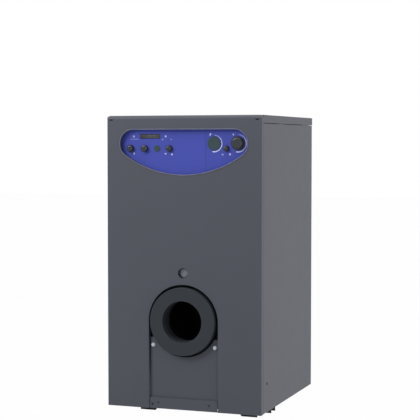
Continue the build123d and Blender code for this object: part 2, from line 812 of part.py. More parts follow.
def turning_box(grow, front, rear):
    """The raised box over both rows of passages, where the gas turns."""
    half = PASS_X + PASS_WIDTH / 2 + 4 + grow
    low = LOWER_PASS - PASS_HEIGHT / 2 - 3 - grow
    high = UPPER_PASS + PASS_HEIGHT / 2 + 1 + grow
    outline = Pos(0, (low + high) / 2) * RectangleRounded(2 * half, high - low, 10 + grow)
    return slab_y(outline, front, rear)


def burner_door():
    hump = DOOR_FACE - DOOR_THICK
    shape = door_body(DOOR_FACE, DOOR_BACK)
    shape += turning_box(6, hump, DOOR_FACE)
    boss = rod_y(BOSS_RADIUS, 0, BURNER_HEIGHT, BOSS_FACE, DOOR_FACE)
    boss = fillet(boss.edges().group_by(Axis.Y)[0], 1.5)
    shape += boss
    shape += rod_y(SIGHT_HOLE, 0, SIGHT_HEIGHT, DOOR_FACE - 6, DOOR_FACE)
    shape -= turning_box(0, hump + 6, DOOR_BACK + 1)
    groove = BOSS_FACE + GROOVE_SETBACK
    groove_radius = BURNER_BORE + GROOVE_RISE
    shape -= rod_y(BURNER_BORE, 0, BURNER_HEIGHT, BOSS_FACE - 1, DOOR_BACK + 1)
    shape -= rod_y(BURNER_BORE + LEAD_IN, 0, BURNER_HEIGHT, BOSS_FACE - 1, groove)
    shape -= rod_y(groove_radius, 0, BURNER_HEIGHT, groove, groove + GROOVE_WIDTH)
    shape -= rod_y(DOOR_BORE, 0, BURNER_HEIGHT, DOOR_FACE, DOOR_BACK + 1)
    shape -= rod_y(sight_bore(), 0, SIGHT_HEIGHT, BOSS_FACE, DOOR_BACK + 1)
    shape -= gasket_ring(DOOR_BACK - 4, DOOR_BACK + 1)
    for x, z in door_stud_points():
        shape -= rod_y(ROD_RADIUS + 1, x, z, DOOR_FACE - 1, DOOR_BACK + 1)
    return shape


def gasket_ring(front, rear):
    outer = body_outline(-24)
    return slab_y(outer - body_outline(-32), front, rear)


def door_gasket():
    """A rope seal in the door's groove, pressed on the front section."""
    return gasket_ring(DOOR_BACK - 4, BODY_FRONT)


def door_insulation():
    """A fibre board that fills the mouth of the chamber."""
    rear = DOOR_BACK + BOARD_THICK
    board = slab_y(chamber_outline(-2), DOOR_BACK, rear)
    board -= rod_y(DOOR_BORE, 0, BURNER_HEIGHT, DOOR_BACK - 1, rear + 1)
    return board - rod_y(sight_bore(), 0, SIGHT_HEIGHT, DOOR_BACK - 1, rear + 1)


def door_studs():
    end = BODY_FRONT + WALL - 1
    start = DOOR_FACE - NUT_THICK - ROD_END
    return group([rod_y(ROD_RADIUS, x, z, start, end) for x, z in door_stud_points()])


def sight_bore():
    return SIGHT_HOLE - 6.0


def sight_glass_holder():
    """A tube from the door's sight bore to just behind the front panel."""
    start = FRONT + SIGHT_RECESS
    tube = rod_y(SIGHT_HOLE + 1.5, 0, SIGHT_HEIGHT, start, start + 8)
    tube += rod_y(SIGHT_HOLE - 3, 0, SIGHT_HEIGHT, start + 8, DOOR_FACE - 6)
    tube -= rod_y(SIGHT_HOLE - 3.5, 0, SIGHT_HEIGHT, start - 1, start + 3)
    return tube - rod_y(sight_bore(), 0, SIGHT_HEIGHT, start, DOOR_FACE)


def sight_glass():
    start = FRONT + SIGHT_RECESS
    return rod_y(SIGHT_HOLE - 3.5 - FIT, 0, SIGHT_HEIGHT, start, start + 3)


# Smoke hood, flue, pipes and drain


def smoke_hood():
    low = HOOD_TOP - HOOD_HEIGHT
    half = HOOD_HALF_WIDTH
    shape = block((-half, half), (BODY_REAR, HOOD_REAR), (low, HOOD_TOP))
    shape = fillet(shape.faces().sort_by(Axis.Y)[-1].edges(), HOOD_WALL)
    flange_half = half + HOOD_FLANGE
    flange_z = (low - HOOD_FLANGE / 2, HOOD_TOP)
    shape += block((-flange_half, flange_half), (BODY_REAR, BODY_REAR + 6), flange_z)
    inner = half - HOOD_WALL
    inner_z = (low + HOOD_WALL, HOOD_TOP - HOOD_WALL)
    shape -= block((-inner, inner), (BODY_REAR - 1, HOOD_REAR - HOOD_WALL), inner_z)
    return shape - rod_y(COLLAR_RADIUS - COLLAR_WALL, 0, HOOD_MIDDLE, BODY_REAR, HOOD_REAR + 1)


def flue_collar():
    tube = rod_y(COLLAR_RADIUS, 0, HOOD_MIDDLE, HOOD_REAR, BACK_END)
    tube += rod_y(COLLAR_RADIUS + COLLAR_FLANGE, 0, HOOD_MIDDLE, HOOD_REAR, HOOD_REAR + 4)
    return tube - rod_y(COLLAR_RADIUS - COLLAR_WALL, 0, HOOD_MIDDLE, HOOD_REAR - 1, BACK_END + 1)


def flue_baffles():
    """Zigzag strips that lie in the upper passages."""
    thick = 1.5
    rise = PASS_HEIGHT / 2 - 4
    start = BODY_FRONT + 6
    count = 9
    pitch = (BODY_REAR - BODY_FRONT - 12) / count
    middle = UPPER_PASS - PASS_HEIGHT / 2 + 0.3 + rise
    lower = [(start + i * pitch, middle + (-1) ** (i + 1) * rise) for i in range(count + 1)]
    upper = [(y, z + thick) for y, z in reversed(lower)]
    outline = make_face(Polyline(*(lower + upper), close=True))
    half = PASS_WIDTH / 2 - PASS_CORNER - 1
    return group(both_sides(slab_x(outline, PASS_X - half, PASS_X + half)))


def water_pipe(z):
    """A flanged pipe with a spigot in the rear header."""
    pipe = rod_y(PORT - SHAFT_CLEAR, 0, z, BODY_REAR - WALL, BODY_REAR)
    pipe += rod_y(PIPE_FLANGE, 0, z, BODY_REAR, BODY_REAR + 10)
    pipe += rod_y(PIPE_RADIUS, 0, z, BODY_REAR + 10, BACK_END)
    return pipe - rod_y(PIPE_RADIUS - PIPE_WALL, 0, z, BODY_REAR - WALL - 1, BACK_END + 1)


def drain_plane():
    """The valve's middle, behind the rear panel."""
    return REAR + 18.0


def drain_cock_body():
    y = drain_plane()
    body = rod_y(DRAIN_RADIUS - SHAFT_CLEAR, DRAIN_X, DRAIN_Z, BODY_REAR - WALL, y - 9)
    body += rod_y(DRAIN_RADIUS + 3, DRAIN_X, DRAIN_Z, BODY_REAR, BODY_REAR + 8)
    hexagon = Pos(DRAIN_X, DRAIN_Z) * RegularPolygon(DRAIN_RADIUS + 3, 6)
    body += slab_y(hexagon, y - 11, y + 11)
    body += rod_y(DRAIN_RADIUS - 2, DRAIN_X, DRAIN_Z, y + 11, BACK_END - 2)
    for index in range(3):
        ring = BACK_END - 6 - index * 6
        body += rod_y(DRAIN_RADIUS - 1, DRAIN_X, DRAIN_Z, ring - 2, ring)
    body += rod_z(7.0, DRAIN_X, y, DRAIN_Z, DRAIN_Z + 17)
    body -= rod_z(4.0 + SHAFT_CLEAR, DRAIN_X, y, DRAIN_Z + 9, DRAIN_Z + 18)
    return body - rod_y(5.0, DRAIN_X, DRAIN_Z, y + 4, BACK_END)


def drain_cock_lever():
    """A stem in the valve's neck with a flat handle, shut while it lies across."""
    y = drain_plane()
    top = DRAIN_Z + 17.3
    lever = rod_z(4.0, DRAIN_X, y, DRAIN_Z + 9.3, top)
    lever += rod_z(7.0, DRAIN_X, y, top, top + 5)
    blade = Pos(DRAIN_X + 13, y) * RectangleRounded(28, 9, 4)
    return lever + slab_z(blade, top + 1, top + 4)


def pocket_y():
    return MIDDLE_FRONT + MIDDLE_SECTION / 2


def pocket_seat():
    return HEADER_TOP + HEADER_RADIUS + 2


def bulb_pocket():
    """A brass well screwed into the top header, open above."""
    y = pocket_y()
    low = HEADER_TOP - PORT + 8
    head = slab_z(Pos(0, y) * RegularPolygon(POCKET_RADIUS + 5, 6), pocket_seat(), pocket_seat() + 8)
    well = head + rod_z(POCKET_RADIUS, 0, y, low, pocket_seat())
    return well - rod_z(POCKET_BORE, 0, y, low + 3, pocket_seat() + 9)


def jacket_outline(grow):
    """Straight sides under broad shoulders that clear the top header."""
    half = BODY_HALF_WIDTH + grow
    header_rise = HEADER_TOP + HEADER_RADIUS - BODY_TOP
    top = BODY_TOP + header_rise + grow
    upper = Pos(0, (BURNER_HEIGHT + top) / 2) * Rectangle(2 * half, top - BURNER_HEIGHT)
    upper = fillet(upper.vertices().group_by(Axis.Y)[-1], SHOULDER + header_rise + grow)
    return Pos(0, BURNER_HEIGHT) * Circle(half) + upper


def body_insulation():
    """A mineral wool jacket over the sections, open below."""
    shape = slab_y(jacket_outline(JACKET_CLEAR + JACKET), BODY_FRONT, BODY_REAR)
    shape -= slab_y(jacket_outline(JACKET_CLEAR), BODY_FRONT - 1, BODY_REAR + 1)
    half = BODY_HALF_WIDTH + JACKET + JACKET_CLEAR + 1
    shape -= block((-half, half), (BODY_FRONT - 1, BODY_REAR + 1), (0, JACKET_LOW))
    return shape - rod_z(POCKET_RADIUS + 8, 0, pocket_y(), BODY_TOP, TRAY_BOTTOM)


# Controls


def fascia_holes(grow):
    """Everything that passes through the fascia, in front view."""
    outline = Pos(THERMOSTAT_X, THERMOSTAT_Z) * Circle(SHAFT_HOLE + grow)
    for x in (MAIN_SWITCH_X, SEASON_X, SMALL_SELECTOR_X):
        outline += Pos(x, ROW_Z) * Circle(SHAFT_HOLE + grow)
    outline += Pos(LIMIT_X, ROW_Z) * Circle(limit_neck() + FIT + grow)
    outline += Pos(SMALL_PLUG_X, ROW_Z) * Circle(SMALL_PLUG - 2 + grow)
    outline += Pos(LARGE_PLUG_X, LARGE_PLUG_Z) * Circle(LARGE_PLUG - 3 + grow)
    outline += Pos(GAUGE_X, GAUGE_Z) * Rectangle(GAUGE_WIDTH + 2 * grow, GAUGE_HEIGHT + 2 * grow)
    return outline


def fascia_plate(left, right):
    """The part of the fascia between two places along X."""
    width = right - left
    height = CONTROL_HEIGHT + 4 * FASCIA_MARGIN
    middle = CONTROL_TOP - CONTROL_HEIGHT / 2
    span = Pos((left + right) / 2, middle) * Rectangle(width, height)
    outline = (control_outline(FASCIA_MARGIN) & span) - fascia_holes(0)
    return slab_y(outline, FASCIA_FACE, TRAY_FRONT)


def control_fascia_left():
    return fascia_plate(-HALF_WIDTH, FASCIA_SEAM_X - FASCIA_SEAM_WIDTH / 2)


def control_fascia_right():
    return fascia_plate(FASCIA_SEAM_X + FASCIA_SEAM_WIDTH / 2, HALF_WIDTH)


def control_tray():
    """A folded tray hung between the side panels, open above."""
    half = TRAY_HALF_WIDTH
    x = (-half, half)
    shape = block(x, (TRAY_FRONT, TRAY_REAR), (TRAY_BOTTOM, TRAY_TOP))
    inner_x = (-half + SHEET, half - SHEET)
    inner_y = (TRAY_FRONT + SHEET, TRAY_REAR - SHEET)
    open_z = (TRAY_BOTTOM + TRAY_BACK_HEIGHT, TRAY_TOP + 1)
    shape -= block(inner_x, inner_y, (TRAY_BOTTOM + SHEET, TRAY_TOP + 1))
    shape -= block(inner_x, (TRAY_REAR - 2 * SHEET, TRAY_REAR + 1), open_z)
    shape -= slab_y(fascia_holes(0), TRAY_FRONT - 1, TRAY_FRONT + 2 * SHEET)
    hanger = block(
        (half, HALF_WIDTH - SHEET - 0.5),
        (SIDE_FRONT + SHEET + 1, TRAY_REAR),
        (TRAY_TOP - SHEET, TRAY_TOP),
    )
    for part in both_sides(hanger):
        shape += part
    for x_hole in CABLE_HOLE_X:
        z = TRAY_BOTTOM + CABLE_HOLE_UP
        shape -= rod_y(CABLE_HOLE, x_hole, z, TRAY_REAR - 2 * SHEET, TRAY_REAR + 1)
    return shape


def cable_glands():
    """A hexagonal collar and a dome outside, and a lock nut inside the tray."""
    glands = []
    inside = TRAY_REAR - SHEET
    for x in CABLE_HOLE_X:
        z = TRAY_BOTTOM + CABLE_HOLE_UP
        hexagon = Pos(x, z) * RegularPolygon(GLAND_NUT, 6)
        gland = rod_y(CABLE_HOLE, x, z, inside, TRAY_REAR)
        gland += slab_y(hexagon, TRAY_REAR, TRAY_REAR + 6)
        gland += rod_y(GLAND_DOME, x, z, TRAY_REAR + 6, TRAY_REAR + 18)
        gland += slab_y(hexagon, inside - 5, inside)
        glands.append(gland - rod_y(GLAND_BORE, x, z, TRAY_REAR - 20, TRAY_REAR + 20))
    return group(glands)


def terminal_block():
    """A row of chambers on the floor of the tray."""
    floor = TRAY_BOTTOM + SHEET
    rear = TRAY_REAR - SHEET - 12
    shape = block((-54, 54), (rear - 22, rear), (floor, floor + 18))
    for index in range(9):
        x = (index - 4) * 12
        shape -= block((x - 4, x + 4), (rear - 23, rear - 14), (floor + 4, floor + 12))
        shape -= rod_z(2.5, x, rear - 9, floor + 10, floor + 19)
    return shape


def placed_on_fascia(shape, x, z):
    """Turns a piece built up along +Z to face the front, at the fascia."""
    return Pos(x, FASCIA_FACE, z) * Rot(90, 0, 0) * shape


def switch_reach():
    """From the fascia's face to the back of a switch spindle."""
    return FASCIA_SHEET + SHEET + 14.0


def knob(radius, height):
    """A skirt, a tapered grip with a raised pointer, and a spindle."""
    shape = Pos(0, 0, KNOB_GAP) * extrude(Circle(radius), amount=2.0)
    grip_height = height - 2.0
    grip = Cone(0.9 * radius, 0.82 * radius, grip_height)
    dome = min(0.55 * radius, 0.6 * grip_height)
    grip = fillet(grip.edges().sort_by(Axis.Z)[-1], dome)
    shape += Pos(0, 0, KNOB_GAP + 2 + grip_height / 2) * grip
    ridge = Box(0.1 * radius, 0.4 * radius, 4.0)
    shape += Pos(0, 0.35 * radius, KNOB_GAP + height - 1.6) * ridge
    shape += Pos(0, 0, KNOB_GAP - switch_reach() / 2) * Cylinder(SHAFT, switch_reach())
    return shape


def thermostat_knob():
    radius = THERMOSTAT_KNOB
    shape = knob(radius, THERMOSTAT_KNOB_HEIGHT)
    for index in range(18):
        angle = radians(10 + index * 20)
        place = (0.93 * radius * cos(angle), 0.93 * radius * sin(angle))
        flute = Circle(0.09 * radius)
        groove = extrude(Pos(*place) * flute, amount=THERMOSTAT_KNOB_HEIGHT + 2)
        shape -= Pos(0, 0, KNOB_GAP + 3.0) * groove
    return placed_on_fascia(shape, THERMOSTAT_X, THERMOSTAT_Z)


def small_knob(x, radius, height):
    return placed_on_fascia(knob(radius, height), x, ROW_Z)


def instrument_body(x, z, width, height, depth):
    """A closed case on the back of the tray's front, with a spindle hole."""
    back = TRAY_FRONT + SHEET
    case = Pos(x, z) * RectangleRounded(width, height, 2)
    shape = slab_y(case, back, back + depth)
    shape = fillet(shape.edges().group_by(Axis.Y)[-1], 1.0)
    neck = slab_y(Pos(x, z) * Circle(SHAFT_HOLE - FIT), FASCIA_FACE + 1, back)
    return (shape + neck) - rod_y(SHAFT + SHAFT_CLEAR, x, z, FASCIA_FACE, back + 15)


def thermostat_body():
    return instrument_body(THERMOSTAT_X, THERMOSTAT_Z, 40, 36, 32)


def switch_bodies():
    places = (MAIN_SWITCH_X, SEASON_X, SMALL_SELECTOR_X)
    return group([instrument_body(x, ROW_Z, 20, 24, 24) for x in places])


def limit_neck():
    return 6.0


def limit_thermostat_body():
    """A case with a hollow neck through the fascia for the reset button."""
    back = TRAY_FRONT + SHEET
    x = LIMIT_X
    shape = slab_y(Pos(x, ROW_Z) * RectangleRounded(30, 30, 2), back, back + 30)
    shape += rod_y(limit_neck(), x, ROW_Z, FASCIA_FACE - 3, back)
    return shape - rod_y(2.5 + SHAFT_CLEAR, x, ROW_Z, FASCIA_FACE - 4, back + 12)


def limit_reset_button():
    shape = rod_y(2.5, LIMIT_X, ROW_Z, FASCIA_FACE - 5.5, TRAY_FRONT + SHEET + 8)
    return fillet(shape.edges().group_by(Axis.Y)[0], 0.8)


def limit_cap():
    """A hollow cap over the neck, ribbed round its side."""
    shape = Pos(0, 0, KNOB_GAP) * extrude(Circle(LIMIT_CAP), amount=LIMIT_CAP_HEIGHT)
    shape = fillet(shape.edges().group_by(Axis.Z)[-1], LIMIT_CAP / 2)
    shape -= extrude(Circle(limit_neck() + FIT), amount=KNOB_GAP + 8.0)
    for index in range(12):
        angle = radians(index * 30)
        rib = Pos(LIMIT_CAP * cos(angle), LIMIT_CAP * sin(angle)) * Circle(0.8)
        shape -= extrude(rib, amount=KNOB_GAP + 5.0)
    return placed_on_fascia(shape, LIMIT_X, ROW_Z)


def blanking_plug(x, z, radius, neck):
    """A thin disc with a hollow neck behind it."""
    cap = extrude(Circle(radius), amount=1.6)
    cap = fillet(cap.edges().group_by(Axis.Z)[-1], 0.6)
    length = FASCIA_SHEET + SHEET + 3
    cap += Pos(0, 0, -length) * extrude(Circle(neck - FIT), amount=length)
    cap -= Pos(0, 0, -length - 1) * extrude(Circle(neck - 2), amount=length)
    return placed_on_fascia(cap, x, z)


def small_blanking_plug():
    return blanking_plug(SMALL_PLUG_X, ROW_Z, SMALL_PLUG, SMALL_PLUG - 2)


def large_blanking_plug():
    return blanking_plug(LARGE_PLUG_X, LARGE_PLUG_Z, LARGE_PLUG, LARGE_PLUG - 3)


def gauge_rectangle(grow):
    return Pos(GAUGE_X, GAUGE_Z) * Rectangle(GAUGE_WIDTH + 2 * grow, GAUGE_HEIGHT + 2 * grow)


def thermometer_housing():
    """A box behind the tray whose frame comes forward to the fascia."""
    back = TRAY_FRONT + SHEET
    shape = slab_y(gauge_rectangle(3), back, back + 24)
    shape += slab_y(gauge_rectangle(-FIT), FASCIA_FACE - 0.6, back)
    return shape - slab_y(gauge_rectangle(-GAUGE_FRAME), FASCIA_FACE - 1, GAUGE_FLOOR)


def thermometer_scale():
    return slab_y(gauge_rectangle(-GAUGE_FRAME - FIT), GAUGE_FLOOR - 0.8, GAUGE_FLOOR)


def thermometer_window():
    return slab_y(gauge_rectangle(-GAUGE_FRAME - FIT), FASCIA_FACE + 0.4, FASCIA_FACE + 1.9)


def thermometer_pointer():
    """A thin needle that stands just in front of the scale."""
    x = GAUGE_X - POINTER_REST
    half_height = GAUGE_HEIGHT / 2 - GAUGE_FRAME - 0.5
    y = (GAUGE_FLOOR - 2.0, GAUGE_FLOOR - 1.2)
    return block((x - 0.6, x + 0.6), y, (GAUGE_Z - half_height, GAUGE_Z + half_height))


def capillary(x, z, start, spot, drop_x):
    """A thin tube back over the tray, then down to its bulb in the well."""
    y = pocket_y()
    top = TRAY_BOTTOM + TRAY_BACK_HEIGHT + 18
    bulb_low = HEADER_TOP - PORT + 13
    end_x = spot[0]
    end_y = y + spot[1]
    bulb = rod_z(2.6, end_x, end_y, bulb_low, bulb_low + 50)
    points = [
        (x, start, z),
        (x, start + 30, z),
        (drop_x, TRAY_REAR - 10, top),
        (end_x, end_y, top + 6),
        (end_x, end_y, bulb_low + 50),
    ]
    path = FilletPolyline(*points, radius=10)
    profile = Plane(origin=path @ 0, z_dir=path % 0) * Circle(1.0)
    return sweep(profile, path=path) + bulb


def capillary_tubes():
    back = TRAY_FRONT + SHEET
    tubes = [
        capillary(THERMOSTAT_X, THERMOSTAT_Z, back + 32, (3.4, -2.0), 60),
        capillary(LIMIT_X, ROW_Z, back + 30, (-3.4, -2.0), -60),
        capillary(GAUGE_X, GAUGE_Z, back + 24, (0.0, 3.9), -30),
    ]
    return group(tubes)


PARTS = {
    "front_panel": front_panel,
    "control_bezel": control_bezel,
    "front_panel_studs": front_panel_studs,
    "front_panel_clips": front_panel_clips,
    "burner_cover_plate": burner_cover_plate,
    "cover_plate_screws": cover_plate_screws,
    "cover_plate_posts": cover_plate_posts,
    "right_side_panel": right_side_panel,
    "left_side_panel": lambda: mirror(right_side_panel(), about=Plane.YZ),
    "rear_panel": rear_panel,
    "top_cover": top_cover,
    "top_cover_pins": top_cover_pins,
    "base_front_rail": lambda: rail(RAIL_FRONT, RAIL_HALF_LENGTH),
    "base_rear_rail": lambda: rail(REAR_RAIL_FRONT, REAR_RAIL_HALF_LENGTH),
    "base_side_channels": base_side_channels,
    "front_section": front_section,
    "middle_section_1": lambda: middle_section(0),
    "middle_section_2": lambda: middle_section(1),
    "middle_section_3": lambda: middle_section(2),
    "rear_section": rear_section,
    "section_nipples": section_nipples,
    "tie_rods": tie_rods,
    "hexagon_nuts": hexagon_nuts,
    "header_plugs": header_plugs,
    "burner_door": burner_door,
    "door_gasket": door_gasket,
    "door_insulation": door_insulation,
    "door_studs": door_studs,
    "sight_glass_holder": sight_glass_holder,
    "sight_glass": sight_glass,
    "smoke_hood": smoke_hood,
    "flue_collar": flue_collar,
    "flue_baffles": flue_baffles,
    "flow_pipe": lambda: water_pipe(HEADER_TOP),
    "return_pipe": lambda: water_pipe(HEADER_BOTTOM),
    "drain_cock_body": drain_cock_body,
    "drain_cock_lever": drain_cock_lever,
    "bulb_pocket": bulb_pocket,
    "body_insulation": body_insulation,
    "control_tray": control_tray,
    "control_fascia_left": control_fascia_left,
    "control_fascia_right": control_fascia_right,
    "cable_glands": cable_glands,
    "terminal_block": terminal_block,
    "thermostat_knob": thermostat_knob,
    "main_switch_knob": lambda: small_knob(MAIN_SWITCH_X, SWITCH_KNOB, KNOB_HEIGHT),
    "season_selector_knob": lambda: small_knob(SEASON_X, SEASON_KNOB, KNOB_HEIGHT),
    "small_selector_knob": lambda: small_knob(SMALL_SELECTOR_X, SMALL_KNOB, SMALL_KNOB_HEIGHT),
    "thermostat_body": thermostat_body,
    "switch_bodies": switch_bodies,
    "limit_thermostat_body": limit_thermostat_body,
    "limit_reset_button": limit_reset_button,
    "limit_cap": limit_cap,
    "small_blanking_plug": small_blanking_plug,
    "large_blanking_plug": large_blanking_plug,
    "thermometer_housing": thermometer_housing,
    "thermometer_scale": thermometer_scale,
    "thermometer_window": thermometer_window,
    "thermometer_pointer": thermometer_pointer,
    "capillary_tubes": capillary_tubes,
}

os.makedirs("parts", exist_ok=True)
for name, make in PARTS.items():
    export_step(make(), f"parts/{name}.step")
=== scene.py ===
import bmesh
import bpy
import json
from math import cos, pi, radians, sin
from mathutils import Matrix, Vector

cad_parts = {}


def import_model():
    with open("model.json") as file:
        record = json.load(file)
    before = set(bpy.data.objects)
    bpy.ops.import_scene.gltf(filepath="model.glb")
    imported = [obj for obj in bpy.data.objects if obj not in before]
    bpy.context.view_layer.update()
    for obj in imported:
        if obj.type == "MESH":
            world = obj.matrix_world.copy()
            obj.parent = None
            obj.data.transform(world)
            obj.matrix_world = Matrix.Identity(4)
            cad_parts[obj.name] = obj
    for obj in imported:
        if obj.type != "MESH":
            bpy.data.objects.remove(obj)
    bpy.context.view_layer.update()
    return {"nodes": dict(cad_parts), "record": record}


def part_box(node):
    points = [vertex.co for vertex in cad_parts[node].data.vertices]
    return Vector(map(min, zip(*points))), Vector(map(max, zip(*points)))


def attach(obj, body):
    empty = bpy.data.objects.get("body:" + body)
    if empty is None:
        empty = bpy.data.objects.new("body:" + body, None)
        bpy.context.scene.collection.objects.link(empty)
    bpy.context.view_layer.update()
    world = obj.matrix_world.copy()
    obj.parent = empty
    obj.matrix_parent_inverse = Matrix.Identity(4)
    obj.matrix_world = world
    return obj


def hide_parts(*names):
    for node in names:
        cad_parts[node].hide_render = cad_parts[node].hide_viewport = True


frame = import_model()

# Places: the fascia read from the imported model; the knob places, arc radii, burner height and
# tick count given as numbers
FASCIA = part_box("control_fascia_left")[0][1]
THERMOSTAT = (0.156, 0.773)
LARGE_PLUG = (0.087, 0.7725)
THERMOSTAT_ARC = 0.0238
LARGE_PLUG_ARC = 0.0228
BURNER = 0.279
TICKS = 19
DOOR_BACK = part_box("burner_door")[1][1]
BODY_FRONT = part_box("front_section")[0][1]
BODY_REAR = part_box("rear_section")[1][1]

# Control cut-out: top, half width, height, radius of the lower arc, end radius
CUT_TOP = 0.811
CUT_HALF = 0.188
CUT_HEIGHT = 0.125
CUT_ARC = 0.300
CUT_END = 0.03919
BEZEL_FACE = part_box("control_bezel")[0][1]
BEAD_RADIUS = 0.0008
BEAD_SIDES = 8

# Printed arcs: start and end in degrees, thin and thick end
ARC_SHAPE = (4, 192, 0.0008, 0.0032)
INK_THICK = 0.00012
INK_GAP = 0.00001

# Heating body outline, half width, top and shoulder radius
BODY = (0.160, 0.590, 0.060)
HEADER_RISE = 0.050
JACKET_CLEAR = 0.0005
JACKET = 0.027
JACKET_LOW = 0.205
JACKET_LINER_GAP = 0.0006
PINCH_DEPTH = 0.0016
BAYS = 3
POCKET_Y = -0.108
POCKET_RADIUS = 0.0185
STRAP_PLACES = (-0.158, 0.013, 0.07)
STRAP_HALF = 0.006
STRAP_PROUD = 0.0006
STRAP_SINK = 0.0004

# Door gasket: distance inside the body's outline, groove depth, rope radius
GASKET_INSET = 0.028
GASKET_GROOVE = 0.004
ROPE_RADIUS = 0.0033
ROPE_SIDES = 14

# How much of the floor's light to the camera is plain white
FLOOR_GLOW = 0.985


# Material building blocks


def new_material(name):
    material = bpy.data.materials.new(name)
    material.use_nodes = True
    nodes = material.node_tree.nodes
    shader = nodes["Principled BSDF"]
    return material, nodes, material.node_tree.links, shader


def place_node(nodes, links, stretch):
    """Object coordinates in metres, stretched along chosen axes."""
    coords = nodes.new("ShaderNodeTexCoord")
    mapping = nodes.new("ShaderNodeMapping")
    mapping.inputs["Scale"].default_value = stretch
    links.new(coords.outputs["Object"], mapping.inputs["Vector"])
    return mapping.outputs["Vector"]


def noise(nodes, links, vector, scale, detail=4.0, rough=0.55):
    texture = nodes.new("ShaderNodeTexNoise")
    texture.inputs["Scale"].default_value = scale
    texture.inputs["Detail"].default_value = detail
    texture.inputs["Roughness"].default_value = rough
    links.new(vector, texture.inputs["Vector"])
    return texture.outputs["Fac"]


def spread(nodes, links, value, low, high, start=0.3, end=0.7):
    """Maps a texture's middle range to low..high."""
    node = nodes.new("ShaderNodeMapRange")
    node.inputs["From Min"].default_value = start
    node.inputs["From Max"].default_value = end
    node.inputs["To Min"].default_value = low
    node.inputs["To Max"].default_value = high
    links.new(value, node.inputs["Value"])
    return node.outputs["Result"]


def tinted(nodes, links, factor, dark, light):
    ramp = nodes.new("ShaderNodeValToRGB")
    ramp.color_ramp.elements[0].color = (*dark, 1)
    ramp.color_ramp.elements[1].color = (*light, 1)
    links.new(factor, ramp.inputs["Fac"])
    return ramp.outputs["Color"]


def add_bump(nodes, links, shader, height, strength, distance):
    bump = nodes.new("ShaderNodeBump")
    bump.inputs["Strength"].default_value = strength
    bump.inputs["Distance"].default_value = distance
    links.new(height, bump.inputs["Height"])
    links.new(bump.outputs["Normal"], shader.inputs["Normal"])


def shade(colour, factor):
    return tuple(min(1.0, channel * factor) for channel in colour)


def surface(name, colour, rough, vary=0.05, cloud=6.0, grain=900.0, bump=0.15,
            depth=0.0002, metallic=0.0, stretch=(1, 1, 1), rough_vary=0.06,
            coat=0.0, specular=0.5):
    """A finish with slow colour clouds, uneven gloss and a fine surface grain."""
    material, nodes, links, shader = new_material(name)
    vector = place_node(nodes, links, stretch)
    clouds = spread(nodes, links, noise(nodes, links, vector, cloud), 0.0, 1.0)
    tint = tinted(nodes, links, clouds, shade(colour, 1 - vary), shade(colour, 1 + vary))
    links.new(tint, shader.inputs["Base Color"])
    patches = noise(nodes, links, vector, cloud * 7, 6.0)
    low, high = max(0.02, rough - rough_vary), min(1.0, rough + rough_vary)
    gloss = spread(nodes, links, patches, low, high)
    links.new(gloss, shader.inputs["Roughness"])
    fine = noise(nodes, links, vector, grain, 2.0)
    add_bump(nodes, links, shader, fine, bump, depth)
    shader.inputs["Metallic"].default_value = metallic
    shader.inputs["Coat Weight"].default_value = coat
    shader.inputs["Specular IOR Level"].default_value = specular
    return material


def spangled(name, colour):
    """Galvanised sheet with its crystal pattern."""
    material, nodes, links, shader = new_material(name)
    vector = place_node(nodes, links, (1, 1, 1))
    cells = nodes.new("ShaderNodeTexVoronoi")
    cells.inputs["Scale"].default_value = 85.0
    links.new(vector, cells.inputs["Vector"])
    split = nodes.new("ShaderNodeSeparateColor")
    links.new(cells.outputs["Color"], split.inputs["Color"])
    tone = split.outputs["Red"]
    tint = tinted(nodes, links, tone, shade(colour, 0.86), shade(colour, 1.1))
    links.new(tint, shader.inputs["Base Color"])
    links.new(spread(nodes, links, tone, 0.32, 0.5, 0.0, 1.0), shader.inputs["Roughness"])
    shader.inputs["Metallic"].default_value = 0.9
    fine = noise(nodes, links, vector, 700.0, 2.0)
    add_bump(nodes, links, shader, fine, 0.08, 0.0002)
    return material


def cast(name, colour, rough=0.72):
    """Sand-cast surface: a sandy grain under uneven tones."""
    material, nodes, links, shader = new_material(name)
    vector = place_node(nodes, links, (1, 1, 1))
    coarse = noise(nodes, links, vector, 55.0, 8.0, 0.65)
    tint = tinted(nodes, links, coarse, shade(colour, 0.7), shade(colour, 1.3))
    links.new(tint, shader.inputs["Base Color"])
    gloss = noise(nodes, links, vector, 30.0)
    links.new(spread(nodes, links, gloss, rough - 0.1, rough + 0.1), shader.inputs["Roughness"])
    sand = noise(nodes, links, vector, 420.0, 6.0, 0.7)
    add_bump(nodes, links, shader, sand, 0.45, 0.0006)
    return material


def woven(name, colour, scale):
    """Crossed threads, for rope and fibre faces."""
    material, nodes, links, shader = new_material(name)
    vector = place_node(nodes, links, (1, 1, 1))
    waves = []
    for direction in ("X", "Z"):
        wave = nodes.new("ShaderNodeTexWave")
        wave.bands_direction = direction
        wave.inputs["Scale"].default_value = scale
        wave.inputs["Distortion"].default_value = 1.5
        links.new(vector, wave.inputs["Vector"])
        waves.append(wave.outputs["Fac"])
    both = nodes.new("ShaderNodeMath")
    both.operation = "MULTIPLY"
    links.new(waves[0], both.inputs[0])
    links.new(waves[1], both.inputs[1])
    dirt = noise(nodes, links, vector, 25.0, 6.0)
    tint = tinted(nodes, links, dirt, shade(colour, 0.75), shade(colour, 1.1))
    links.new(tint, shader.inputs["Base Color"])
    links.new(spread(nodes, links, dirt, 0.8, 1.0), shader.inputs["Roughness"])
    add_bump(nodes, links, shader, both.outputs["Value"], 0.5, 0.0006)
    return material


